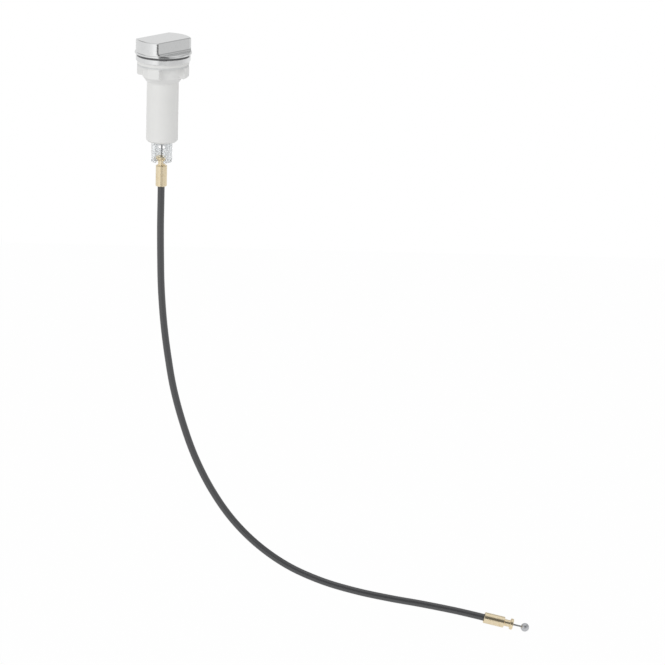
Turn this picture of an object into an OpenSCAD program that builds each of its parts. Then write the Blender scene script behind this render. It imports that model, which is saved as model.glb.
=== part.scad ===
// Turn-knob cable actuator for a cistern.
// A knob on a panel turns a cam sleeve inside the barrel. Two helical slots in the sleeve lift a cross pin, which is
// kept from turning by two straight grooves in the barrel. The pin carries the inner wire of a sheathed cable up, and
// the ball on the cable's far end is drawn in by the same amount. A coil spring turns the knob back.
// The origin is on the barrel's axis, in the plane of the collar's underside, which seats on the panel. +Z is out of
// the panel, towards the knob.

/* [Knob] */
// Diameter of the round rim at the foot of the knob
knob_d = 48.2; // [44:0.1:56]
// Diameter of the grip's round ends
grip_d = 46.8; // [42:0.1:50]
// Width of the grip across its two flats
grip_w = 27.6; // [23:0.1:32]
// Height of the grip above the rim
grip_h = 10.8; // [9:0.1:16]
// Height of the rim, which the flats leave as a ledge
rim_h = 2.0; // [1.6:0.1:4]
// Wall of the knob moulding
knob_wall = 2.0; // [1.2:0.1:2.6]
// Radius of the hollow where a flat runs out into the ledge
grip_fillet = 2.8; // [1:0.1:4]
// Radius of the rounded edge round the grip's top
knob_edge = 0.95; // [0.3:0.05:0.95]
// Radius of the rounded upper edge of the rim
rim_edge = 1.2; // [0.3:0.1:1.4]
// Direction of the grip's long axis at rest, in degrees from +X
grip_turn = 45.5; // [0:0.5:180]
// Diameter of the hub that takes the spindle's stem
hub_d = 16.4; // [15:0.1:20]

/* [Flange] */
// Diameter of the bright cover flange
flange_d = 46.2; // [42:0.1:54]
// Height of the cover flange, from the collar to its flat top
flange_h = 4.4; // [3.6:0.1:8]
// Thickness of the cover flange's outer skirt
skirt_t = 1.8; // [1:0.1:2.5]
// Diameter of the dark glide ring under the knob
glide_d = 43.6; // [41:0.1:53]
// Radial width of the glide ring
glide_w = 3.6; // [2:0.1:5]
// Thickness of the glide ring
glide_t = 1.5; // [1:0.1:3]

/* [Housing] */
// Diameter of the collar that seats on the panel
collar_d = 44.0; // [38:0.1:50]
// Thickness of the collar
collar_h = 2.6; // [1.8:0.1:5]
// Diameter of the neck that the cover flange snaps over
neck_d = 35.0; // [32:0.1:38]
// Diameter of the barrel
barrel_d = 26.9; // [25.5:0.1:32]
// Length of the barrel under the collar
barrel_len = 67.5; // [64:0.1:110]
// Wall of the barrel
barrel_wall = 3.0; // [2.4:0.1:3.6]
// Thickness of the barrel's lower end
end_wall = 6.3; // [4:0.1:8]
// Chamfer round the barrel's lower end
barrel_chamfer = 1.6; // [0.5:0.1:2.5]
// Depth of the straight grooves that guide the cross pin
groove_deep = 1.6; // [1:0.1:1.8]

/* [Nut] */
// Diameter of the clamping nut's body
nut_d = 34.4; // [31:0.1:38]
// Diameter over the nut's lugs
lug_d = 44.4; // [40:0.1:50]
// Width of a lug
lug_w = 10.0; // [5:0.1:12]
// Height of the lugs
lug_h = 9.6; // [6:0.1:14]
// Chamfer round the lower ends of the lugs
lug_chamfer = 1.2; // [0.5:0.1:3]
// Number of lugs
lug_n = 4; // [2:1:6]
// Direction of the first lug, in degrees from +X
lug_turn = -20; // [-90:1:90]
// Height of the nut's round body
nut_h = 10.2; // [7:0.1:14]
// Height of the tapered end below the body
nut_taper = 3.6; // [2:0.1:8]
// Outer diameter of the panel gasket
gasket_d = 43.4; // [36:0.1:44]
// Thickness of the panel gasket
gasket_t = 1.4; // [0.8:0.1:3]

/* [Mechanism] */
// Turn of the knob from rest to its stop, in degrees
turn = 60; // [45:1:80]
// Pull of the wire over that turn
pull = 6.0; // [4:0.1:6.2]
// Diameter of the cross pin
pin_d = 3.0; // [2:0.1:3.4]
// Gap each side of the cross pin in its slots and grooves
pin_gap = 0.2; // [0.1:0.01:0.3]
// Wall of the cam sleeve
sleeve_wall = 2.9; // [2:0.1:3.2]
// Running gap between the cam sleeve and the barrel
sleeve_gap = 0.08; // [0.05:0.01:0.1]
// Sliding gap between the carriage and the cam sleeve
carriage_gap = 0.1; // [0.05:0.01:0.2]
// Length of the carriage
carriage_len = 16.0; // [14:0.1:20]
// Thickness of the disc that holds the spindle in the housing
disc_t = 2.2; // [1.5:0.1:3]
// Diameter of that disc
disc_d = 23.8; // [23.4:0.1:25]
// Diameter of the spindle's stem
stem_d = 12.0; // [11:0.1:13]
// Distance between the flats on the stem
stem_flats = 8.4; // [7:0.1:9]
// Height of the stem inside the knob
stem_h = 8.8; // [7.5:0.1:9]
// Wire diameter of the return spring
spring_wire = 1.2; // [0.8:0.1:1.4]
// Turns of the return spring
spring_turns = 11; // [7:1:14]

/* [Cable] */
// Diameter of the clear socket that holds the cable
socket_d = 17.6; // [16.8:0.1:20]
// Length of the socket under the barrel
socket_len = 17.8; // [16:0.1:24]
// Thickness of the socket's lower plate
plate_t = 2.0; // [1.5:0.1:3]
// Width of the window through the socket
window_w = 7.4; // [5:0.1:8.5]
// Direction that the cable is slipped in from, in degrees from -Y
entry_turn = -12; // [-30:1:30]
// Diameter of a ferrule
ferrule_d = 9.6; // [8.6:0.1:10.4]
// Length of a ferrule's body
ferrule_body = 18.0; // [15:0.1:24]
// Length of the groove in a ferrule
ferrule_groove = 5.2; // [4:0.1:7]
// Diameter of a ferrule at its groove
ferrule_neck = 6.0; // [4:0.1:7]
// Length of a ferrule's head
ferrule_head = 2.6; // [1.5:0.1:4]
// Depth of the sheath in a ferrule
crimp_deep = 12.0; // [8:0.1:14]
// Diameter of the sheath
sheath_d = 6.0; // [4.5:0.1:6.6]
// Diameter of the inner wire
wire_d = 1.5; // [1:0.1:1.8]
// Bare wire between the lower ferrule and the ball
bare_wire = 7.0; // [6.5:0.1:20]
// Diameter of the ball
ball_d = 7.4; // [5:0.1:10]

/* [Hidden] */

// Small clearances that several pieces share
run_gap = 0.3;
seat_gap = 0.05;
axial_play = 0.1;
over = 1;

// Heights of the stack over the panel, from the collar's underside up
neck_h = 3.0;
retainer_t = 1.1;
z_neck = collar_h + neck_h;
z_flange = collar_h + flange_h;
z_glide = z_flange + glide_t;
z_knob = z_glide + run_gap;
z_ledge = z_knob + rim_h;
z_top = z_ledge + grip_h;
z_retainer = z_neck - retainer_t;
z_disc = z_retainer - axial_play - disc_t;
z_disc_top = z_disc + disc_t;
z_stem_top = z_knob + stem_h;

// Radii inside the barrel, from its wall inwards
bore_r = barrel_d / 2 - barrel_wall;
groove_r = bore_r + groove_deep;
sleeve_r = bore_r - sleeve_gap;
sleeve_in_r = sleeve_r - sleeve_wall;
carriage_r = sleeve_in_r - carriage_gap;
disc_bore_r = disc_d / 2 + axial_play * 2;
retainer_r = disc_d / 2 + 2.1;
spring_r = carriage_r - spring_wire / 2 - 0.4;
boss_r = spring_r - spring_wire / 2 - 0.3;

// Heights inside the barrel, from its floor up
hook_h = 1.0;
hook_out = 0.6;
sleeve_clear = 1.0;
z_end = -barrel_len;
z_floor = z_end + end_wall;
z_sleeve = z_floor + hook_h + sleeve_clear;
z_carriage = z_sleeve + 2;
z_pin = z_carriage + carriage_len / 2;
z_carriage_top = z_carriage + carriage_len;
z_cap = z_disc - 6.2;
boss_h = 3;
pin_r = pin_d / 2;
slot_w = pin_d + 2 * pin_gap;
pin_len = 2 * (groove_r - 0.25);

// The nipple lies under the cross pin, on a floor in the carriage
nipple_r = 2.5;
nipple_floor = 2.0;
z_nipple = z_carriage + nipple_floor;
nipple_h = carriage_len / 2 - nipple_floor - pin_r - 0.6;
wire_hole_r = wire_d / 2 + 0.15;

// Socket and ferrules. The upper ferrule's head rests on the socket's lower plate.
spigot_r = 7.15;
spigot_in_r = 4.6;
socket_r = socket_d / 2;
cavity_r = ferrule_d / 2 + 1.0;
socket_roof = 1.5;
z_socket = z_end - socket_len;
z_plate = z_socket + plate_t;
ferrule_len = ferrule_body + ferrule_groove + ferrule_head;
z_mouth = z_plate - ferrule_groove - ferrule_body;
head_slot = ferrule_d + 0.6;
neck_slot = ferrule_neck + 0.8;
crimp_r = sheath_d / 2 + seat_gap;

// The sheath's route from the upper ferrule's mouth: a way to the right and a drop, in millimetres. It was chosen by
// eye along the cable's own curve, which is stiff enough to stand off in one open sweep.
route = [[0, 0], [0, -16], [0, -36], [0.5, -61.5], [1.5, -89], [4, -119], [8, -148.5], [13.5, -178.5], [22, -209],
    [33, -239], [47.5, -267.5], [66, -294], [88.5, -316.5], [114.5, -334.5], [143, -347.2], [172.5, -355.7],
    [202.5, -361.7], [230, -366.1], [256, -370.8], [271, -373.9], [285.1, -377.1]];
route_steps = 2;
sheath_sides = 10;
route_end = route[len(route) - 1];
route_last = route_end - route[len(route) - 2];
far_drop = atan2(-route_last[1], route_last[0]);
far_dir = [cos(far_drop), -sin(far_drop)];
hidden_wire = ferrule_len - crimp_deep - pull - 0.8;

// A solid skinned over a list of rings with equal numbers of points, closed by its first and last ring
module skin(rings) {
    n = len(rings[0]);
    m = len(rings);
    points = [for (ring = rings) for (p = ring) p];
    sides = [for (i = [0:m - 2]) for (j = [0:n - 1]) let (a = i * n + j, b = i * n + (j + 1) % n)
        for (t = [[a, b, b + n], [a, b + n, a + n]]) t];
    caps = [[for (j = [n - 1:-1:0]) j], [for (j = [0:n - 1]) (m - 1) * n + j]];
    polyhedron(points, concat(sides, caps), convexity = 6);
}

// A point on a smooth curve through p1 and p2, at u from 0 to 1, with p0 and p3 as their neighbours
function curve_point(p0, p1, p2, p3, u) =
    (2 * p1 + (p2 - p0) * u + (2 * p0 - 5 * p1 + 4 * p2 - p3) * u * u + (3 * p1 - p0 - 3 * p2 + p3) * u * u * u) / 2;
function curve_through(p, steps) = concat(
    [for (i = [0:len(p) - 2]) for (k = [0:steps - 1])
        curve_point(p[max(i - 1, 0)], p[i], p[i + 1], p[min(i + 2, len(p) - 1)], k / steps)],
    [p[len(p) - 1]]);

// A disc with rounded edges, drawn as a profile and turned
module rounded_disc(r, h, low_edge, high_edge) {
    rotate_extrude($fn = 96) {
        square([r - max(low_edge, high_edge), h]);
        translate([0, low_edge]) square([r, h - low_edge - high_edge]);
        translate([0, 0]) square([r - low_edge, low_edge]);
        translate([r - low_edge, low_edge]) circle(low_edge, $fn = 32);
        translate([0, h - high_edge]) square([r - high_edge, high_edge]);
        translate([r - high_edge, h - high_edge]) circle(high_edge, $fn = 32);
    }
}

// A flat washer from a height up
module washer(r_in, r_out, z, h) {
    translate([0, 0, z]) difference() {
        cylinder(r = r_out, h = h, $fn = 96);
        translate([0, 0, -over]) cylinder(r = r_in, h = h + 2 * over, $fn = 96);
    }
}

// Places pieces in the far fitting's own frame: its +Z runs from the lower ferrule's mouth out to the ball
module at_far_end() {
    translate([route_end[0], 0, z_mouth + route_end[1]]) rotate([0, 90 + far_drop, 0]) children();
}

// Section across the grip: rounded over the top, running out into the ledge in a hollow on each side
module grip_section() {
    translate([-grip_w / 2, 0]) square([grip_w, grip_h - knob_edge]);
    translate([-grip_w / 2 + knob_edge, 0]) square([grip_w - 2 * knob_edge, grip_h]);
    for (side = [-1, 1]) {
        translate([side * (grip_w / 2 - knob_edge), grip_h - knob_edge]) circle(knob_edge, $fn = 32);
        difference() {
            translate([side > 0 ? grip_w / 2 - over : -grip_w / 2 - grip_fillet, 0])
                square([grip_fillet + over, grip_fillet]);
            translate([side * (grip_w / 2 + grip_fillet), grip_fillet]) circle(grip_fillet, $fn = 64);
        }
    }
}

// The bar between the two flats, cut to the round ends
module grip() {
    translate([0, 0, z_ledge - over]) intersection() {
        rounded_disc(grip_d / 2, grip_h + over, knob_edge, knob_edge);
        rotate([90, 0, 90]) translate([0, over, -grip_d]) linear_extrude(2 * grip_d) {
            grip_section();
            translate([-grip_d, -over]) square([2 * grip_d, over]);
        }
    }
}

// Section of the stem's driving end, with a flat on two sides
module stem_drive(grow, h) {
    intersection() {
        cylinder(d = stem_d - 1 + 2 * grow, h = h, $fn = 64);
        translate([-stem_d, -stem_flats / 2 - grow, 0]) cube([2 * stem_d, stem_flats + 2 * grow, h]);
    }
}

// The clip's groove lies halfway up the driving end
clip_t = 0.9;
clip_in_r = stem_flats / 2 + 0.4;
clip_out_r = stem_d / 2 + 0.1;
z_clip = z_knob + stem_h / 2;

// Plated moulding: a round rim and a bar grip, hollow from below, with a hub and two ribs
module knob() {
    hollow_top = z_top - knob_wall;
    hollow_foot = z_knob + rim_h - 1.2;
    color([0.86, 0.87, 0.88]) rotate([0, 0, grip_turn]) difference() {
        union() {
            translate([0, 0, z_knob]) rounded_disc(knob_d / 2, rim_h, 0.4, rim_edge);
            grip();
        }
        translate([0, 0, z_knob - over]) cylinder(r = grip_d / 2 - knob_wall, h = rim_h - 1.2 + over, $fn = 96);
        difference() {
            intersection() {
                translate([0, 0, z_knob]) cylinder(r = grip_d / 2 - knob_wall, h = hollow_top - z_knob, $fn = 96);
                translate([-grip_d, -grip_w / 2 + knob_wall, z_knob])
                    cube([2 * grip_d, grip_w - 2 * knob_wall, hollow_top - z_knob]);
            }
            translate([0, 0, z_knob]) cylinder(d = hub_d, h = hollow_top - z_knob, $fn = 64);
            translate([-grip_d / 2, -0.7, hollow_foot]) cube([grip_d, 1.4, hollow_top - hollow_foot]);
        }
        translate([0, 0, z_knob - over]) stem_drive(seat_gap, stem_h + 0.4 + over);
        translate([0, 0, z_clip]) cylinder(r = clip_out_r + seat_gap, h = clip_t, $fn = 64);
    }
}

// Open steel ring that snaps between the stem and the hub and holds the knob on
module knob_clip() {
    color([0.72, 0.73, 0.75]) translate([0, 0, z_clip]) rotate([0, 0, grip_turn + 20])
        rotate_extrude(angle = 320, $fn = 64)
            translate([clip_in_r + seat_gap, 0]) square([clip_out_r - clip_in_r - seat_gap, clip_t - seat_gap]);
}

// Bright cover over the collar: a flat top plate, an outer skirt, and an inner lip that grips the neck
module cover_flange() {
    color([0.84, 0.85, 0.86]) translate([0, 0, collar_h]) difference() {
        rounded_disc(flange_d / 2, flange_h, 0.8, 0.5);
        translate([0, 0, -over]) cylinder(r = neck_d / 2 + seat_gap, h = neck_h + over, $fn = 96);
        translate([0, 0, -over]) cylinder(r = seal_bore_r, h = flange_h + 2 * over, $fn = 64);
        washer(neck_d / 2 + 1.4, flange_d / 2 - skirt_t, -over, neck_h + over - 0.2);
    }
}

// Dark ring that the knob's rim turns on
module glide_ring() {
    color([0.09, 0.09, 0.1]) washer(glide_d / 2 - glide_w, glide_d / 2, z_flange, glide_t);
}

// Sealing ring in the stem's groove, just clear of the cover's bore
seal_r = 0.64;
seal_groove_r = stem_d / 2 - 0.5;
seal_bore_r = seal_groove_r + 2 * seal_r + 2 * seat_gap + 0.02;
module shaft_seal() {
    color([0.1, 0.1, 0.1]) translate([0, 0, z_neck + (flange_h - neck_h) / 2])
        rotate_extrude($fn = 64) translate([seal_groove_r + seal_r + seat_gap / 2, 0]) circle(seal_r, $fn = 32);
}

// Flat ring over the spindle's disc, trapped under the cover flange
module spindle_retainer() {
    color([0.8, 0.8, 0.78]) washer(stem_d / 2 + axial_play, retainer_r, z_retainer, retainer_t);
}

// A ring of the helical slot's cutter, square to the slot, at a share of the way up it
function slot_ring(share, lean, w) = let (
        a = share * turn,
        out = [cos(a), sin(a), 0],
        side = [sin(a) * sin(lean), -cos(a) * sin(lean), cos(lean)],
        mid = [0, 0, z_pin + share * pull])
    [for (c = [[0, -1], [1, -1], [1, 1], [0, 1]])
        mid + out * (c[0] == 0 ? sleeve_in_r - over : sleeve_r + over) + side * c[1] * w / 2];

// One helical slot, with a round end where the pin rests at each limit
module helical_slot() {
    slot_rings = 10;
    mid_r = (sleeve_r + sleeve_in_r) / 2;
    lean = atan2(pull, mid_r * turn * PI / 180);
    skin([for (i = [0:slot_rings]) slot_ring(i / slot_rings, lean, slot_w)]);
    for (share = [0, 1])
        translate([0, 0, z_pin + share * pull]) rotate([0, 90, share * turn])
            translate([0, 0, sleeve_in_r - over]) cylinder(d = slot_w, h = sleeve_wall + 2 * over, $fn = 32);
}

// Stem, disc and cam sleeve in one moulding
module cam_spindle() {
    color([0.9, 0.9, 0.88]) difference() {
        union() {
            translate([0, 0, z_sleeve]) cylinder(r = sleeve_r, h = z_disc - z_sleeve, $fn = 96);
            translate([0, 0, z_disc]) cylinder(d = disc_d, h = disc_t, $fn = 96);
            translate([0, 0, z_disc]) cylinder(d = stem_d, h = z_knob - axial_play - z_disc, $fn = 64);
            rotate([0, 0, grip_turn]) translate([0, 0, z_disc]) stem_drive(0, z_stem_top - z_disc);
        }
        difference() {
            translate([0, 0, z_sleeve - over]) cylinder(r = sleeve_in_r, h = z_cap - z_sleeve + over, $fn = 96);
            translate([0, 0, z_cap - boss_h]) cylinder(r = boss_r, h = boss_h + over, $fn = 64);
        }
        washer(seal_groove_r, stem_d, z_neck, flange_h - neck_h);
        washer(clip_in_r, stem_d, z_clip, clip_t);
        for (a = [0, 180]) rotate([0, 0, a]) helical_slot();
    }
}

// Height of the spring's centre line after some turns: a closed turn at each end, even pitch between
spring_low = z_carriage_top + spring_wire / 2;
spring_high = z_cap - spring_wire / 2;
closed_pitch = spring_wire * 1.05;
open_pitch = (spring_high - spring_low - 2 * closed_pitch) / (spring_turns - 2);
function spring_z(t) = spring_low + closed_pitch * min(t, 1) + open_pitch * max(min(t, spring_turns - 1) - 1, 0)
    + closed_pitch * max(t - spring_turns + 1, 0);
function spring_ring(t, n) = let (a = t * 360, out = [cos(a), sin(a), 0], up = [0, 0, 1])
    [for (j = [0:n - 1]) out * (spring_r - cos(j * 360 / n) * spring_wire / 2)
        + [0, 0, spring_z(t)] + up * sin(j * 360 / n) * spring_wire / 2];

// Compression spring between the carriage and the sleeve's cap, which it also turns back through the helix
module return_spring() {
    steps = 16;
    color([0.7, 0.71, 0.73]) skin([for (i = [0:spring_turns * steps]) spring_ring(i / steps, 6)]);
}

// Slider inside the cam sleeve, bored across for the pin and from above for the nipple
module carriage() {
    color([0.25, 0.35, 0.5]) difference() {
        union() {
            translate([0, 0, z_carriage]) cylinder(r = carriage_r, h = carriage_len, $fn = 96);
            translate([0, 0, z_carriage_top]) cylinder(r = boss_r, h = boss_h, $fn = 64);
        }
        translate([0, 0, z_nipple]) cylinder(r = nipple_r + seat_gap, h = carriage_len + boss_h, $fn = 48);
        translate([0, 0, z_carriage - over]) cylinder(r = wire_hole_r, h = nipple_floor + 2 * over, $fn = 32);
        translate([-carriage_r - over, 0, z_pin]) rotate([0, 90, 0])
            cylinder(r = pin_r, h = 2 * (carriage_r + over), $fn = 48);
    }
}

// Steel pin through the carriage, both helical slots and both grooves of the barrel
module cross_pin() {
    color([0.75, 0.76, 0.78]) translate([-pin_len / 2, 0, z_pin]) rotate([0, 90, 0]) cylinder(r = pin_r, h = pin_len, $fn = 48);
}

// Cast barrel on the wire's upper end
module wire_nipple() {
    color([0.6, 0.61, 0.63]) translate([0, 0, z_nipple]) difference() {
        cylinder(r = nipple_r, h = nipple_h, $fn = 48);
        translate([0, 0, -over]) cylinder(d = wire_d, h = nipple_h + 2 * over, $fn = 32);
    }
}

// Inner wire from the nipple down into the upper ferrule
module upper_wire() {
    z_low = z_mouth + crimp_deep + 0.8;
    color([0.35, 0.36, 0.37]) translate([0, 0, z_low]) cylinder(d = wire_d, h = z_nipple + nipple_h - z_low, $fn = 32);
}

// White moulding: collar, neck and barrel, bored for the cam sleeve and grooved for the pin
module housing() {
    color([0.93, 0.94, 0.93]) difference() {
        union() {
            rounded_disc(collar_d / 2, collar_h, 0.3, 0.3);
            cylinder(d = neck_d, h = z_neck, $fn = 96);
            translate([0, 0, z_end + barrel_chamfer]) cylinder(d = barrel_d, h = barrel_len - barrel_chamfer + over / 2, $fn = 96);
            translate([0, 0, z_end])
                cylinder(r1 = barrel_d / 2 - barrel_chamfer, r2 = barrel_d / 2, h = barrel_chamfer, $fn = 96);
        }
        translate([0, 0, z_retainer]) cylinder(r = retainer_r + seat_gap, h = retainer_t + over, $fn = 96);
        translate([0, 0, z_disc]) cylinder(r = disc_bore_r, h = z_neck, $fn = 96);
        translate([0, 0, z_floor]) cylinder(r = bore_r, h = barrel_len, $fn = 96);
        translate([0, 0, z_end - over]) cylinder(r = spigot_r + seat_gap, h = end_wall + 2 * over, $fn = 64);
        translate([-groove_r, -slot_w / 2, z_pin - slot_w / 2]) cube([2 * groove_r, slot_w, z_disc - z_pin + slot_w]);
    }
}

// Soft washer between the collar and the panel
module panel_gasket() {
    color([0.85, 0.86, 0.86]) washer(barrel_d / 2 + seat_gap, gasket_d / 2, -gasket_t, gasket_t);
}

// Profile of the nut with its lugs, from the axis out, hanging down from its top face
module nut_profile(r, h, high_edge, low_edge) {
    polygon([[0, 0], [r - high_edge, 0], [r, -high_edge], [r, low_edge - h], [r - low_edge, -h], [0, -h]]);
}

// White nut that clamps the panel, turned by its lugs
module clamping_nut() {
    taper_r = barrel_d / 2 + 0.8;
    nut_all = nut_h + nut_taper;
    color([0.92, 0.93, 0.93]) translate([0, 0, -gasket_t]) difference() {
        union() {
            rotate_extrude($fn = 96) {
                nut_profile(nut_d / 2, nut_h, 0.25, 0.5);
                polygon([[0, 0], [nut_d / 2 - 0.5, -nut_h], [taper_r, -nut_all], [0, -nut_all]]);
            }
            for (i = [0:lug_n - 1]) rotate([0, 0, lug_turn + i * 360 / lug_n]) intersection() {
                rotate_extrude($fn = 96) nut_profile(lug_d / 2, lug_h, 0.45, lug_chamfer);
                translate([0, -lug_w / 2, -nut_all]) cube([lug_d, lug_w, 2 * nut_all]);
            }
        }
        translate([0, 0, -nut_all - over]) cylinder(d = barrel_d + 2 * seat_gap, h = nut_all + 2 * over, $fn = 96);
    }
}

// Clear cup under the barrel. Its hooks snap over the barrel's floor, and the upper ferrule is slipped in from the side.
module cable_socket() {
    z_roof = z_end - socket_roof;
    z_window = z_roof - 6.2;
    head_gap = 0.8;
    entry_len = socket_d;
    color([0.8, 0.84, 0.86, 0.5]) difference() {
        union() {
            translate([0, 0, z_socket]) rounded_disc(socket_r, socket_len, 0.8, 0.2);
            translate([0, 0, z_end - over / 2]) cylinder(r = spigot_r, h = end_wall + hook_h + over / 2, $fn = 64);
            translate([0, 0, z_floor])
                cylinder(r1 = spigot_r + hook_out, r2 = spigot_r + 0.1, h = hook_h, $fn = 64);
        }
        translate([0, 0, z_roof - over / 2]) cylinder(r = spigot_in_r, h = end_wall + socket_len, $fn = 64);
        translate([0, 0, z_plate]) cylinder(r = cavity_r, h = z_roof - z_plate, $fn = 64);
        for (a = [45, 135]) rotate([0, 0, a])
            translate([-socket_d, -0.8, z_end + 1.5]) cube([2 * socket_d, 1.6, end_wall + hook_h]);
        translate([-window_w / 2, -socket_d, z_window]) cube([window_w, 2 * socket_d, z_roof - z_window - window_w / 2]);
        translate([0, socket_d, z_roof - window_w / 2]) rotate([90, 0, 0]) cylinder(d = window_w, h = 2 * socket_d, $fn = 48);
        rotate([0, 0, entry_turn]) {
            translate([-window_w / 2, -entry_len, z_plate]) cube([window_w, entry_len, z_window + 2 - z_plate]);
            translate([-head_slot / 2, -entry_len, z_plate])
                cube([head_slot, entry_len, ferrule_head + head_gap]);
            translate([-neck_slot / 2, -entry_len, z_socket - over]) cube([neck_slot, entry_len, plate_t + 2 * over]);
            translate([0, 0, z_socket - over]) cylinder(d = neck_slot, h = plate_t + 2 * over, $fn = 48);
        }
    }
}

// Turned ferrule, drawn from its mouth up: a body crimped on the sheath, a groove, and a head that the wire leaves by
module ferrule() {
    r = ferrule_d / 2;
    neck = ferrule_neck / 2;
    body_edge = 0.4;
    groove_top = ferrule_body + ferrule_groove;
    color([0.83, 0.68, 0.38]) difference() {
        rotate_extrude($fn = 64) polygon([
            [0, 0], [r - body_edge, 0], [r, body_edge], [r, ferrule_body - body_edge], [r - body_edge, ferrule_body],
            [neck, ferrule_body], [neck, groove_top], [r - body_edge, groove_top], [r, groove_top + body_edge],
            [r, ferrule_len - body_edge], [r - body_edge, ferrule_len], [0, ferrule_len]]);
        translate([0, 0, -over]) cylinder(r = crimp_r, h = crimp_deep + over, $fn = 64);
        translate([0, 0, crimp_deep - over]) cylinder(r = wire_hole_r, h = ferrule_len, $fn = 32);
    }
}

module upper_ferrule() {
    translate([0, 0, z_mouth]) ferrule();
}

module lower_ferrule() {
    at_far_end() ferrule();
}

// Sheath of the cable, from its seat in the upper ferrule to its seat in the lower one
module cable_sheath() {
    smooth = curve_through(route, route_steps);
    path = concat([[0, crimp_deep]], smooth, [route_end + far_dir * crimp_deep]);
    last = len(path) - 1;
    rings = [for (i = [0:last]) let (
            way = path[min(i + 1, last)] - path[max(i - 1, 0)],
            across = [way[1], -way[0]] / norm(way))
        [for (j = [0:sheath_sides - 1]) let (a = j * 360 / sheath_sides)
            [path[i][0] + across[0] * cos(a) * sheath_d / 2, sin(a) * sheath_d / 2,
                z_mouth + path[i][1] + across[1] * cos(a) * sheath_d / 2]]];
    color([0.13, 0.13, 0.14]) skin(rings);
}

// Inner wire from the lower ferrule out to the ball
module lower_wire() {
    color([0.45, 0.46, 0.47]) at_far_end() translate([0, 0, ferrule_len - hidden_wire])
        cylinder(d = wire_d, h = hidden_wire + bare_wire + ball_d / 2, $fn = 32);
}

// Steel ball swaged on the wire's end
module ball_end() {
    color([0.62, 0.63, 0.65]) at_far_end() translate([0, 0, ferrule_len + bare_wire + ball_d / 2]) difference() {
        sphere(d = ball_d, $fn = 64);
        translate([0, 0, -ball_d]) cylinder(d = wire_d, h = ball_d, $fn = 32);
    }
}

knob();
knob_clip();
cover_flange();
glide_ring();
shaft_seal();
spindle_retainer();
cam_spindle();
return_spring();
carriage();
cross_pin();
wire_nipple();
upper_wire();
housing();
panel_gasket();
clamping_nut();
cable_socket();
upper_ferrule();
cable_sheath();
lower_ferrule();
lower_wire();
ball_end();
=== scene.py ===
import math

import bmesh
import bpy
from mathutils import Matrix, Vector


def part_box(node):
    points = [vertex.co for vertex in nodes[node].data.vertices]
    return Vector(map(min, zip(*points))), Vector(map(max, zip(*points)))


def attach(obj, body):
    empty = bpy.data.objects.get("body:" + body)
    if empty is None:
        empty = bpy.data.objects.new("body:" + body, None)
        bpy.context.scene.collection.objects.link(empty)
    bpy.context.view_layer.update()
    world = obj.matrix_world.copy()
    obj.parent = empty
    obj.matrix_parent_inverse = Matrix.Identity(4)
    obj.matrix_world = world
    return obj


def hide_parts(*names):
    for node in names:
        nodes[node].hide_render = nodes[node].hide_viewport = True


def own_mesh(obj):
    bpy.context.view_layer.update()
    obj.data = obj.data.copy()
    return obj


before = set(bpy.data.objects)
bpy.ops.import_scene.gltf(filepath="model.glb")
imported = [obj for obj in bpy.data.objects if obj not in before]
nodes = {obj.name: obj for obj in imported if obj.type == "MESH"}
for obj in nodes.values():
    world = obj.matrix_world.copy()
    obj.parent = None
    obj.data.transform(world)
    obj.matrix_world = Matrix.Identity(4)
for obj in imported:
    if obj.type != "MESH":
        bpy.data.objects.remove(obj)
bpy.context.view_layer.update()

# The camera. It stands five metres off on a long lens, a little above the cable's far end and rolled by about a degree,
# which is how the cable's plane lies in the photograph.
camera_height = math.radians(15.3)
camera_roll = math.radians(1.406)
camera_far = 5.0
aim = Vector((0.14818, 0.0, -0.23171))
back = Vector((0.0, -math.cos(camera_height), math.sin(camera_height)))
level_right = Vector((1.0, 0.0, 0.0))
level_up = Vector((0.0, math.sin(camera_height), math.cos(camera_height)))
right = level_right * math.cos(camera_roll) + level_up * math.sin(camera_roll)
up = level_up * math.cos(camera_roll) - level_right * math.sin(camera_roll)
lens = bpy.data.cameras.new("camera")
lens.sensor_width = 36.0
lens.lens = 317.33
lens.clip_end = 40.0
camera = bpy.data.objects.new("camera", lens)
bpy.context.scene.collection.objects.link(camera)
camera.matrix_world = Matrix.Translation(aim + back * camera_far) @ Matrix((right, up, back)).transposed().to_4x4()
bpy.context.scene.camera = camera
bpy.context.scene.view_settings.view_transform = "Standard"

# The cable's sheath: a stiff outer of 6 mm with a smooth black skin, extruded over a wound core. Both its ends are
# crimped in brass ferrules. It hangs from the socket and swings out to the right in one bend that opens as it goes.
mouth = -0.1065
sheath_radius = 0.003
crimp_deep = 0.012
route_mm = [
    (0, 0), (0, -16), (0, -36), (0.5, -61.5), (1.5, -89), (4, -119), (8, -148.5), (13.5, -178.5), (22, -209),
    (33, -239), (47.5, -267.5), (66, -294), (88.5, -316.5), (114.5, -334.5), (143, -347.2), (172.5, -355.7),
    (202.5, -361.7), (230, -366.1), (256, -370.8), (271, -373.9), (285.1, -377.1)]
route = [Vector((x / 1000, 0.0, mouth + z / 1000)) for x, z in route_mm]
far_mouth = route[-1]
far_way = (route[-1] - route[-2]).normalized()


def smooth_line(points, steps):
    """The points of the curve that runs through all of these points."""
    line = []
    for i in range(len(points) - 1):
        b, c = points[i], points[i + 1]
        a = points[i - 1] if i else 2 * b - c
        d = points[i + 2] if i + 2 < len(points) else 2 * c - b
        for k in range(steps):
            u = k / steps
            line.append(0.5 * (2 * b + (c - a) * u + (2 * a - 5 * b + 4 * c - d) * u * u
                               + (3 * b - a - 3 * c + d) * u ** 3))
    return line + [points[-1]]


def put_in_scene(name, mesh):
    """A new object of this mesh, smooth shaded."""
    for face in mesh.polygons:
        face.use_smooth = True
    piece = bpy.data.objects.new(name, mesh)
    bpy.context.scene.collection.objects.link(piece)
    return piece


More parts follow.
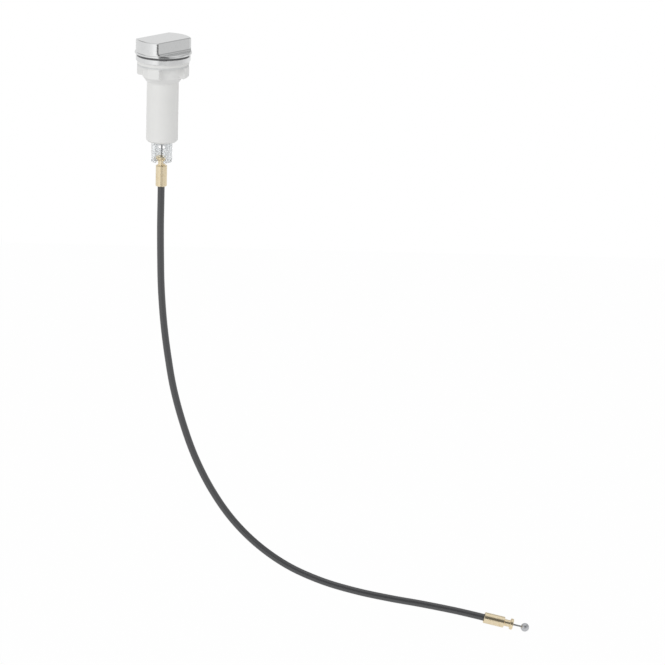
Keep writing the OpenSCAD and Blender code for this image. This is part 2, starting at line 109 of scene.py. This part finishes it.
line = [route[0] + Vector((0, 0, crimp_deep * k / 4)) for k in (4, 3, 2, 1)] + smooth_line(route, 10)
line += [far_mouth + far_way * crimp_deep * k / 4 for k in (1, 2, 3, 4)]
sheath_sides = 40
shape = bmesh.new()
laid_straight = shape.verts.layers.float_vector.new("laid_straight")
along = 0.0
rings = []
for i, place in enumerate(line):
    way = (line[min(i + 1, len(line) - 1)] - line[max(i - 1, 0)]).normalized()
    across = Vector((-way.z, 0.0, way.x))
    if i:
        along += (place - line[i - 1]).length
    ring = []
    for j in range(sheath_sides):
        turn = j * math.tau / sheath_sides
        out = across * math.cos(turn) + Vector((0, math.sin(turn), 0))
        corner = shape.verts.new(place + out * sheath_radius)
        corner[laid_straight] = (math.cos(turn) * sheath_radius, math.sin(turn) * sheath_radius, along)
        ring.append(corner)
    rings.append(ring)
for low, high in zip(rings, rings[1:]):
    for j in range(sheath_sides):
        k = (j + 1) % sheath_sides
        shape.faces.new((low[j], low[k], high[k], high[j]))
for ring in (rings[0], rings[-1]):
    shape.faces.new(ring)
bmesh.ops.recalc_face_normals(shape, faces=shape.faces)
mesh = bpy.data.meshes.new("sheath")
shape.to_mesh(mesh)
shape.free()
sheath = put_in_scene("sheath", mesh)
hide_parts("cable_sheath")
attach(sheath, "fixed")


class Socket:
    """One output of a shader node, so that the sums behind a finish are written as plain Python."""

    def __init__(self, tree, output=None):
        self.tree = tree
        self.output = output

    def node(self, kind, settings=None, sockets=None, output=0):
        """Adds a node of this kind: first its settings, then the values or links of its sockets."""
        made = self.tree.nodes.new("ShaderNode" + kind)
        for name, value in (settings or {}).items():
            if name == "stops":
                stops = made.color_ramp.elements
                while len(stops) > 1:
                    stops.remove(stops[-1])
                stops[0].position, stops[0].color = value[0]
                for where, colour in value[1:]:
                    stops.new(where).color = colour
            else:
                setattr(made, name, value)
        for name, value in (sockets or {}).items():
            if isinstance(value, Socket):
                self.tree.links.new(value.output, made.inputs[name])
            else:
                made.inputs[name].default_value = value
        return Socket(self.tree, made.outputs[output] if len(made.outputs) else None)

    def sum(self, operation, first, second=0.0):
        return self.node("Math", {"operation": operation}, {0: first, 1: second})

    def __add__(self, other):
        return self.sum("ADD", self, other)

    def __radd__(self, other):
        return self.sum("ADD", other, self)

    def __sub__(self, other):
        return self.sum("SUBTRACT", self, other)

    def __rsub__(self, other):
        return self.sum("SUBTRACT", other, self)

    def __mul__(self, other):
        return self.sum("MULTIPLY", self, other)

    def __rmul__(self, other):
        return self.sum("MULTIPLY", other, self)

    def between(self, low, high):
        """0 below low, 1 above high, and smooth from one to the other."""
        return self.node("MapRange", {"interpolation_type": "SMOOTHSTEP"},
                         {"Value": self, "From Min": low, "From Max": high})

    def blend(self, first, second):
        """The first colour where this is 0, the second where it is 1."""
        return self.node("Mix", {"data_type": "RGBA"}, {0: self, 6: first, 7: second}, 2)


def start_finish(name):
    """A new empty material's node tree, as a Socket to add the first node from."""
    material = bpy.data.materials.new(name)
    material.use_nodes = True
    material.node_tree.nodes.clear()
    return material, Socket(material.node_tree)


def end_finish(shader):
    """Puts this shader on the material's surface."""
    shader.node("OutputMaterial", None, {"Surface": shader})


def colour(red, green, blue):
    return (red, green, blue, 1.0)


# Skin of the sheath: carbon black with fine lines along it from the die, and a few dull scuffs.
sheath_skin, tree = start_finish("sheath_skin")
straight = tree.node("Attribute", {"attribute_name": "laid_straight"}, None, "Vector")
drawn = tree.node("VectorMath", {"operation": "MULTIPLY"}, {0: straight, 1: (1.0, 1.0, 0.012)})
lines = tree.node("TexNoise", None, {"Vector": drawn, "Scale": 2600.0, "Detail": 4.0, "Roughness": 0.6}, "Fac")
waves = tree.node("TexNoise", None, {"Vector": straight, "Scale": 160.0, "Detail": 2.0}, "Fac")
scuffs = tree.node("TexNoise", None, {"Vector": straight, "Scale": 900.0, "Detail": 6.0, "Roughness": 0.7}, "Fac")
worn = scuffs.between(0.58, 0.72)
tone = (worn * 0.35 + lines * 0.25).blend(colour(0.046, 0.047, 0.050), colour(0.090, 0.091, 0.096))
dull = 0.24 + lines * 0.08 + worn * 0.14
relief = tree.node("Bump", None, {"Strength": 0.35, "Distance": 0.0002, "Height": lines * 0.35 + waves * 0.8}, 0)
end_finish(tree.node("BsdfPrincipled", None, {"Base Color": tone, "Roughness": dull, "Normal": relief, "IOR": 1.75}))
mesh.materials.append(sheath_skin)

# Bare ends of the inner wire: a hard strand of 1.5 mm, six wires laid round a straight one. The upper end goes from the
# cast nipple in the carriage down into the ferrule, and the lower end from the other ferrule into the ball.
wire_radius = 0.00075
strand_radius = wire_radius / 3
lay_length = 0.011


def stranded_wire(name, start, end):
    """Seven wires of one strand from start to end."""
    way = (end - start).normalized()
    side = Vector((0, 1, 0))
    other = way.cross(side).normalized()
    length = (end - start).length
    steps = max(12, round(length / 0.0004))
    sides = 10
    shape = bmesh.new()
    for k in range(7):
        rings = []
        for i in range(steps + 1):
            s = length * i / steps
            turn = k * math.tau / 6 + s / lay_length * math.tau
            out = side * math.cos(turn) + other * math.sin(turn)
            centre = start + way * s + (out * 2 * strand_radius if k < 6 else Vector())
            rings.append([shape.verts.new(centre + strand_radius * (
                side * math.cos(j * math.tau / sides) + other * math.sin(j * math.tau / sides)))
                for j in range(sides)])
        for low, high in zip(rings, rings[1:]):
            for j in range(sides):
                shape.faces.new((low[j], low[(j + 1) % sides], high[(j + 1) % sides], high[j]))
        shape.faces.new(rings[0])
        shape.faces.new(rings[-1])
    bmesh.ops.recalc_face_normals(shape, faces=shape.faces)
    mesh = bpy.data.meshes.new(name)
    shape.to_mesh(mesh)
    shape.free()
    return put_in_scene(name, mesh)


wire_finish, tree = start_finish("drawn_wire")
place = tree.node("TexCoord", None, None, "Object")
grain = tree.node("TexNoise", None, {"Vector": place, "Scale": 6000.0, "Detail": 4.0, "Roughness": 0.6}, "Fac")
grease = tree.node("TexNoise", None, {"Vector": place, "Scale": 700.0, "Detail": 3.0}, "Fac").between(0.45, 0.7)
tone = (grain * 0.6 + grease * 0.4).blend(colour(0.52, 0.53, 0.53), colour(0.32, 0.325, 0.33))
relief = tree.node("Bump", None, {"Strength": 0.3, "Distance": 0.00003, "Height": grain})
end_finish(tree.node("BsdfPrincipled", None, {
    "Base Color": tone, "Metallic": 1.0, "Roughness": 0.26 + grease * 0.16, "Normal": relief}))
inner_wire = stranded_wire("inner_wire", Vector((0, 0, -0.0937)), Vector((0, 0, -0.0513)))
wire_tail = stranded_wire("wire_tail", far_mouth + far_way * 0.0188, far_mouth + far_way * 0.0365)
for piece, body, node in ((inner_wire, "lifting", "upper_wire"), (wire_tail, "pulled", "lower_wire")):
    piece.data.materials.append(wire_finish)
    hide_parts(node)
    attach(piece, body)

# The floor and the room. A white sweep lies just under the ball, and the room is evenly lit. Polished metal finds a
# darker place straight in front, where the camera stands, a brighter one to the left of it and a duller one far right.
floor_height = -0.4955
shape = bmesh.new()
bmesh.ops.create_grid(shape, x_segments=1, y_segments=1, size=1.3)
mesh = bpy.data.meshes.new("sweep")
shape.to_mesh(mesh)
shape.free()
sweep = put_in_scene("sweep", mesh)
sweep.location = (0.15, 0.0, floor_height)
paper, tree = start_finish("white_paper")
fibre = tree.node("TexNoise", None, {"Vector": tree.node("TexCoord", None, None, "Object"), "Scale": 60.0}, "Fac")
seen = tree.node("LightPath", None, None, "Is Camera Ray")
mirrored = tree.node("LightPath", None, None, "Is Glossy Ray")
through = tree.node("LightPath", None, None, "Is Transmission Ray")
matt = tree.node("BsdfDiffuse", None, {"Color": fibre.blend(colour(0.86, 0.86, 0.86), colour(0.9, 0.9, 0.9))})
white = tree.node("Emission", None, {"Color": colour(1, 1, 1), "Strength": 1.0})
grey = tree.node("Emission", None, {"Color": colour(1, 1, 1), "Strength": 0.8})
plain = tree.node("MixShader", None, {0: seen * 0.98 + through, 1: matt, 2: white})
end_finish(tree.node("MixShader", None, {0: mirrored, 1: plain, 2: grey}))
mesh.materials.append(paper)

world = bpy.data.worlds.new("room")
bpy.context.scene.world = world
world.use_nodes = True
world.node_tree.nodes.clear()
tree = Socket(world.node_tree)


def grey_stops(pairs):
    """Ramp stops from angles in degrees and levels."""
    return [(angle / 360 + 0.5, (level, level, level, 1.0)) for angle, level in pairs]


direction = tree.node("TexCoord", None, None, "Generated")
east = tree.node("SeparateXYZ", None, {0: direction}, "X")
north = tree.node("SeparateXYZ", None, {0: direction}, "Y")
rise = tree.node("SeparateXYZ", None, {0: direction}, "Z")
height = tree.sum("ARCSINE", rise) * (180 / math.pi)
share = tree.sum("ARCTAN2", east, 0 - north) * (0.5 / math.pi) + 0.5
below = tree.node("ValToRGB", {"stops": grey_stops([
    (-180, 0.80), (-121, 0.78), (-87, 0.78), (-62, 0.84), (-35, 0.96), (-24, 0.90), (-14, 0.66), (0, 0.68), (19, 0.70),
    (46, 0.64), (88, 0.66), (110, 0.76), (140, 0.84), (180, 0.80)])}, {0: share})
around = tree.node("ValToRGB", {"stops": grey_stops([
    (-180, 0.77), (-110, 0.77), (-87, 0.77), (-60, 0.82), (-47, 0.89), (-36, 1.0), (-18, 1.0), (-15, 0.11),
    (24, 0.11), (29, 0.40), (45, 0.58), (60, 0.68), (72, 0.62), (88, 0.60), (100, 0.80), (112, 0.80), (125, 0.58),
    (145, 0.60), (165, 0.77), (180, 0.77)])}, {0: share})
cove = tree.node("ValToRGB", {"stops": grey_stops([
    (-180, 0.40), (-30, 0.44), (-19, 0.44), (-16, 0.11), (25, 0.11), (29, 0.38), (180, 0.40)])}, {0: share})
overhead = tree.node("ValToRGB", {"stops": grey_stops([
    (-180, 0.80), (-30, 0.84), (-20, 0.84), (-16, 0.11), (25, 0.11), (30, 0.80), (180, 0.80)])}, {0: share})
shine = height.between(-11.5, -8.5).blend(below, around)
shine = height.between(19.0, 28.0).blend(shine, cove)
shine = height.between(42.0, 54.0).blend(shine, overhead)
seen = tree.node("LightPath", None, None, "Is Camera Ray")
mirrored = tree.node("LightPath", None, None, "Is Glossy Ray")
through = tree.node("LightPath", None, None, "Is Transmission Ray")
plain_level = 0.60
level = seen + through + mirrored * shine + (1 - seen - through - mirrored) * plain_level
background = tree.node("Background", None, {"Color": colour(1, 1, 1), "Strength": level})
tree.node("OutputWorld", None, {"Surface": background})


def soft_lamp(name, place, wide, power):
    """A large square lamp that looks at the object."""
    light = bpy.data.lights.new(name, "AREA")
    light.shape = "SQUARE"
    light.size = wide
    light.energy = power
    lamp = bpy.data.objects.new(name, light)
    bpy.context.scene.collection.objects.link(lamp)
    lamp.location = place
    lamp.rotation_euler = (Vector((0.08, 0, -0.15)) - lamp.location).to_track_quat("-Z", "Y").to_euler()
    lamp.visible_glossy = False


soft_lamp("left_lamp", Vector((-2.4, -1.7, 1.1)), 1.8, 31.0)
soft_lamp("right_lamp", Vector((2.2, -2.4, 0.9)), 1.6, 18.0)

# Bright plated cap of the knob: die cast zinc with a thin wall, polished, then copper, nickel and chrome plated. It is
# pushed on the stem, where a spring clip holds it. The walls have some draft, and polishing has rounded its corners.
def plated(name, corner_radius, draft):
    """Chrome plate over a polished casting, its upright corners rounded by polishing and its walls leaning in a little."""
    material, tree = start_finish(name)
    place = tree.node("TexCoord", None, None, "Object")
    facing = tree.node("NewGeometry", None, None, "Normal")
    corner = tree.node("Bevel", {"samples": 16}, {"Radius": corner_radius})
    flat_part = tree.node("VectorMath", {"operation": "MULTIPLY"}, {0: corner, 1: (1.0, 1.0, 0.0)})
    leaning = tree.node("VectorMath", {"operation": "NORMALIZE"}, {0: flat_part})
    leaning = tree.node("VectorMath", {"operation": "ADD"}, {0: leaning, 1: (0.0, 0.0, draft)})
    upright = 1 - tree.sum("ABSOLUTE", tree.node("SeparateXYZ", None, {0: facing}, "Z")).between(0.15, 0.45)
    walls = tree.node("Mix", {"data_type": "VECTOR"}, {0: upright, 4: facing, 5: leaning}, 1)
    polish = tree.node("TexNoise", None, {"Vector": place, "Scale": 70.0, "Detail": 1.0}, "Fac")
    haze = tree.node("TexNoise", None, {"Vector": place, "Scale": 420.0, "Detail": 5.0, "Roughness": 0.65}, "Fac")
    specks = tree.node("TexNoise", None, {"Vector": place, "Scale": 2600.0, "Detail": 3.0}, "Fac").between(0.66, 0.74)
    relief = tree.node("Bump", None, {"Strength": 0.5, "Distance": 0.0002, "Height": polish + haze * 0.02,
                                      "Normal": walls})
    tone = haze.between(0.35, 0.75).blend(colour(0.865, 0.87, 0.87), colour(0.83, 0.838, 0.84))
    end_finish(tree.node("BsdfPrincipled", None, {
        "Base Color": tone, "Metallic": 1.0, "Roughness": 0.05 + haze.between(0.45, 0.8) * 0.05 + specks * 0.12,
        "Normal": relief}))
    return material


nodes["knob"].data.materials[0] = plated("plated_knob", 0.0036, 0.05)

# Clip of the knob, an open ring of spring steel in a groove of the stem.
def drawn_steel(name, bright, dark, roughness):
    """Cold drawn steel, with fine marks and a little oil on it."""
    material, tree = start_finish(name)
    place = tree.node("TexCoord", None, None, "Object")
    marks = tree.node("TexNoise", None, {"Vector": place, "Scale": 3200.0, "Detail": 5.0, "Roughness": 0.7}, "Fac")
    oil = tree.node("TexNoise", None, {"Vector": place, "Scale": 350.0, "Detail": 3.0}, "Fac").between(0.45, 0.7)
    relief = tree.node("Bump", None, {"Strength": 0.3, "Distance": 0.00004, "Height": marks})
    end_finish(tree.node("BsdfPrincipled", None, {
        "Base Color": (marks * 0.5 + oil * 0.5).blend(bright, dark), "Metallic": 1.0,
        "Roughness": roughness + marks * 0.08 - oil * 0.08, "Normal": relief}))
    return material


nodes["knob_clip"].data.materials[0] = drawn_steel("clip_steel", colour(0.60, 0.61, 0.63), colour(0.42, 0.43, 0.45), 0.28)

# Cover flange: a turned brass ring, plated like the knob. It presses over the housing's collar and hides its edge.
nodes["cover_flange"].data.materials[0] = plated("plated_flange", 0.0004, 0.0)

# Glide ring between knob and flange, punched from sheet acetal, so that the plated parts never rub.
def moulded(name, light, dark, roughness, grain, wear):
    """Moulded or punched plastic: faint flow marks in its colour, a fine grain, and places that are rubbed smooth."""
    material, tree = start_finish(name)
    place = tree.node("TexCoord", None, None, "Object")
    flow = tree.node("TexNoise", None, {"Vector": place, "Scale": 90.0, "Detail": 3.0, "Distortion": 0.4}, "Fac")
    fine = tree.node("TexNoise", None, {"Vector": place, "Scale": grain, "Detail": 4.0, "Roughness": 0.6}, "Fac")
    rubbed = tree.node("TexNoise", None, {"Vector": place, "Scale": 260.0, "Detail": 4.0}, "Fac").between(0.5, 0.72)
    relief = tree.node("Bump", None, {"Strength": 0.25, "Distance": 0.00008, "Height": fine * 0.5 + flow})
    end_finish(tree.node("BsdfPrincipled", None, {
        "Base Color": flow.between(0.3, 0.7).blend(light, dark), "Roughness": roughness + fine * 0.1 - rubbed * wear,
        "Normal": relief, "IOR": 1.48}))
    return material


nodes["glide_ring"].data.materials[0] = moulded(
    "grey_acetal", colour(0.17, 0.17, 0.175), colour(0.14, 0.14, 0.145), 0.45, 2200.0, 0.08)

# Seal of the shaft, a greased ring of nitrile rubber in the housing's neck.
nodes["shaft_seal"].data.materials[0] = moulded(
    "greased_rubber", colour(0.035, 0.035, 0.035), colour(0.022, 0.022, 0.024), 0.38, 1500.0, 0.14)

# Retainer of the spindle, a ring blanked from steel sheet.
nodes["spindle_retainer"].data.materials[0] = drawn_steel(
    "blanked_steel", colour(0.62, 0.63, 0.64), colour(0.46, 0.47, 0.48), 0.34)

# Spindle with the cam sleeve, moulded in natural acetal, which is ivory and lets a little light in.
nodes["cam_spindle"].data.materials[0] = moulded(
    "natural_acetal", colour(0.80, 0.79, 0.73), colour(0.74, 0.72, 0.65), 0.36, 1800.0, 0.10)

# Return spring, wound from bright spring wire with closed ends. It stands on the carriage, and its upper end bears on
# the cap of the cam sleeve, so the real one shortens as the carriage rises; here it rides up with the carriage whole.
spring_low, spring_high = (corner[2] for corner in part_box("return_spring"))
spring_wire = 0.0006
spring_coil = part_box("return_spring")[1][0] - spring_wire
spring_turns = 11
closed_pitch = 2.1 * spring_wire
open_pitch = (spring_high - spring_low - 2 * spring_wire - 2 * closed_pitch) / (spring_turns - 2)
steps_per_turn = 28
wire_sides = 14
shape = bmesh.new()
rings = []
for i in range(spring_turns * steps_per_turn + 1):
    turns = i / steps_per_turn
    level = spring_low + spring_wire + closed_pitch * (min(turns, 1) + max(turns - spring_turns + 1, 0))
    level += open_pitch * max(min(turns, spring_turns - 1) - 1, 0)
    out = Vector((math.cos(turns * math.tau), math.sin(turns * math.tau), 0))
    rings.append([shape.verts.new(
        out * (spring_coil + spring_wire * math.cos(j * math.tau / wire_sides))
        + Vector((0, 0, level + spring_wire * math.sin(j * math.tau / wire_sides)))) for j in range(wire_sides)])
for low, high in zip(rings, rings[1:]):
    for j in range(wire_sides):
        shape.faces.new((low[j], low[(j + 1) % wire_sides], high[(j + 1) % wire_sides], high[j]))
for ring in (rings[0], rings[-1]):
    shape.faces.new(ring)
bmesh.ops.recalc_face_normals(shape, faces=shape.faces)
mesh = bpy.data.meshes.new("wound_spring")
shape.to_mesh(mesh)
shape.free()
mesh.materials.append(drawn_steel("spring_wire", colour(0.58, 0.59, 0.61), colour(0.36, 0.37, 0.39), 0.30))
spring = put_in_scene("wound_spring", mesh)
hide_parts("return_spring")
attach(spring, "lifting")
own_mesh(spring)

# Carriage that slides in the cam sleeve, moulded in blue acetal.
nodes["carriage"].data.materials[0] = moulded(
    "blue_acetal", colour(0.13, 0.19, 0.34), colour(0.10, 0.15, 0.28), 0.38, 1800.0, 0.10)

# Cross pin, ground steel, through the carriage and both helical slots.
nodes["cross_pin"].data.materials[0] = drawn_steel(
    "ground_steel", colour(0.66, 0.67, 0.69), colour(0.52, 0.53, 0.55), 0.20)

# Nipple cast on the inner wire's end in zinc.
nodes["wire_nipple"].data.materials[0] = drawn_steel(
    "cast_zinc", colour(0.50, 0.51, 0.53), colour(0.38, 0.39, 0.41), 0.46)

# Housing: collar, neck and long barrel in one moulding of white acetal. The barrel has a faint satin from the mould,
# drawn along it.
def white_plastic(name, light, dark, roughness, stretch):
    """White plastic off a satin mould, its grain drawn out along the part where stretch is small."""
    material, tree = start_finish(name)
    place = tree.node("TexCoord", None, None, "Object")
    drawn = tree.node("VectorMath", {"operation": "MULTIPLY"}, {0: place, 1: (1.0, 1.0, stretch)})
    satin = tree.node("TexNoise", None, {"Vector": drawn, "Scale": 1900.0, "Detail": 5.0, "Roughness": 0.65}, "Fac")
    sink = tree.node("TexNoise", None, {"Vector": place, "Scale": 55.0, "Detail": 1.5}, "Fac")
    dust = tree.node("TexNoise", None, {"Vector": place, "Scale": 1500.0, "Detail": 2.0}, "Fac").between(0.68, 0.76)
    relief = tree.node("Bump", None, {"Strength": 0.25, "Distance": 0.0001, "Height": satin * 0.25 + sink})
    tone = (sink.between(0.3, 0.7) * 0.7 + dust * 0.3).blend(light, dark)
    end_finish(tree.node("BsdfPrincipled", None, {
        "Base Color": tone, "Roughness": roughness + satin * 0.12 + dust * 0.1, "Normal": relief, "IOR": 1.48}))
    return material


nodes["housing"].data.materials[0] = white_plastic(
    "housing_white", colour(0.835, 0.835, 0.822), colour(0.815, 0.815, 0.80), 0.36, 0.12)

# Gasket under the collar: a soft pale rubber washer, cut from sheet.
nodes["panel_gasket"].data.materials[0] = moulded(
    "pale_rubber", colour(0.70, 0.71, 0.71), colour(0.65, 0.66, 0.66), 0.70, 1400.0, 0.05)

# Clamping nut with four lugs, moulded in a harder white plastic.
nodes["clamping_nut"].data.materials[0] = white_plastic(
    "nut_white", colour(0.845, 0.845, 0.835), colour(0.825, 0.825, 0.815), 0.34, 1.0)

# Socket of the cable, a clear cup that snaps in the barrel's end. It is polycarbonate, a little milky in its thick
# walls. The ferrule's head slides in by the keyhole in its side, and a window on each side shows the wire.
clear, tree = start_finish("clear_polycarbonate")
place = tree.node("TexCoord", None, None, "Object")
swirl = tree.node("TexNoise", None, {"Vector": place, "Scale": 130.0, "Detail": 1.5, "Distortion": 0.4}, "Fac")
scratches = tree.node("TexNoise", None, {"Vector": place, "Scale": 1700.0, "Detail": 4.0}, "Fac").between(0.55, 0.75)
relief = tree.node("Bump", None, {"Strength": 0.15, "Distance": 0.0001, "Height": swirl})
glass = tree.node("BsdfPrincipled", None, {
    "Base Color": swirl.blend(colour(0.97, 0.98, 0.985), colour(0.93, 0.95, 0.96)),
    "Roughness": 0.22 + scratches * 0.12, "Normal": relief, "IOR": 1.20, "Transmission Weight": 1.0})
milk = tree.node("BsdfPrincipled", None, {
    "Base Color": swirl.blend(colour(0.84, 0.85, 0.86), colour(0.78, 0.80, 0.81)),
    "Roughness": 0.22 + scratches * 0.2, "Normal": relief, "IOR": 1.5})
cloudy = tree.node("MixShader", None, {0: 0.36 + swirl * 0.12, 1: glass, 2: milk})
lamp_light = tree.node("LightPath", None, None, "Is Shadow Ray")
open_air = tree.node("BsdfTransparent", None, {"Color": colour(0.90, 0.92, 0.93)})
end_finish(tree.node("MixShader", None, {0: lamp_light * 0.8, 1: cloudy, 2: open_air}))
nodes["cable_socket"].data.materials[0] = clear

# Both ferrules: turned brass with a groove and a head. Their tool marks run round them, so that light draws out into
# streaks along them. The mouth is crimped on the sheath.
def turned_brass(name, origin, axis):
    """Bright turned brass with tool marks round this axis, and a slight tarnish."""
    material, tree = start_finish(name)
    place = tree.node("TexCoord", None, None, "Object")
    inward = tree.node("VectorMath", {"operation": "SUBTRACT"}, {0: place, 1: tuple(origin)})
    along = tree.node("VectorMath", {"operation": "DOT_PRODUCT"}, {0: inward, 1: tuple(axis)}, "Value")
    fine = tree.node("TexNoise", {"noise_dimensions": "1D"}, {"W": along, "Scale": 7000.0, "Detail": 2.0}, "Fac")
    wide = tree.node("TexNoise", {"noise_dimensions": "1D"}, {"W": along, "Scale": 1300.0, "Detail": 2.0}, "Fac")
    tarnish = tree.node("TexNoise", None, {"Vector": place, "Scale": 420.0, "Detail": 5.0, "Roughness": 0.7}, "Fac")
    dull = tarnish.between(0.42, 0.72)
    relief = tree.node("Bump", None, {"Strength": 1.0, "Distance": 0.00001, "Height": fine * 0.8 + wide * 0.2})
    end_finish(tree.node("BsdfPrincipled", None, {
        "Base Color": dull.blend(colour(0.96, 0.83, 0.59), colour(0.87, 0.71, 0.45)), "Metallic": 1.0,
        "Roughness": 0.22 + dull * 0.08, "Normal": relief}))
    return material


nodes["upper_ferrule"].data.materials[0] = turned_brass("upper_brass", route[0], Vector((0, 0, 1)))
nodes["lower_ferrule"].data.materials[0] = turned_brass("lower_brass", far_mouth, far_way)

# Ball of the far end: free cutting steel, turned to a sphere with a fine feed mark and swaged on the strand.
ball_steel, tree = start_finish("turned_steel")
place = tree.node("TexCoord", None, None, "Object")
inward = tree.node("VectorMath", {"operation": "SUBTRACT"}, {0: place, 1: tuple(far_mouth)})
along = tree.node("VectorMath", {"operation": "DOT_PRODUCT"}, {0: inward, 1: tuple(far_way)}, "Value")
feed = tree.node("TexNoise", {"noise_dimensions": "1D"}, {"W": along, "Scale": 5200.0, "Detail": 2.0}, "Fac")
spots = tree.node("TexNoise", None, {"Vector": place, "Scale": 900.0, "Detail": 5.0, "Roughness": 0.7}, "Fac")
relief = tree.node("Bump", None, {"Strength": 0.7, "Distance": 0.00003, "Height": feed + spots * 0.4})
end_finish(tree.node("BsdfPrincipled", None, {
    "Base Color": spots.between(0.4, 0.7).blend(colour(0.66, 0.67, 0.69), colour(0.54, 0.55, 0.57)), "Metallic": 1.0,
    "Roughness": 0.30 + spots * 0.12, "Normal": relief}))
nodes["ball_end"].data.materials[0] = ball_steel
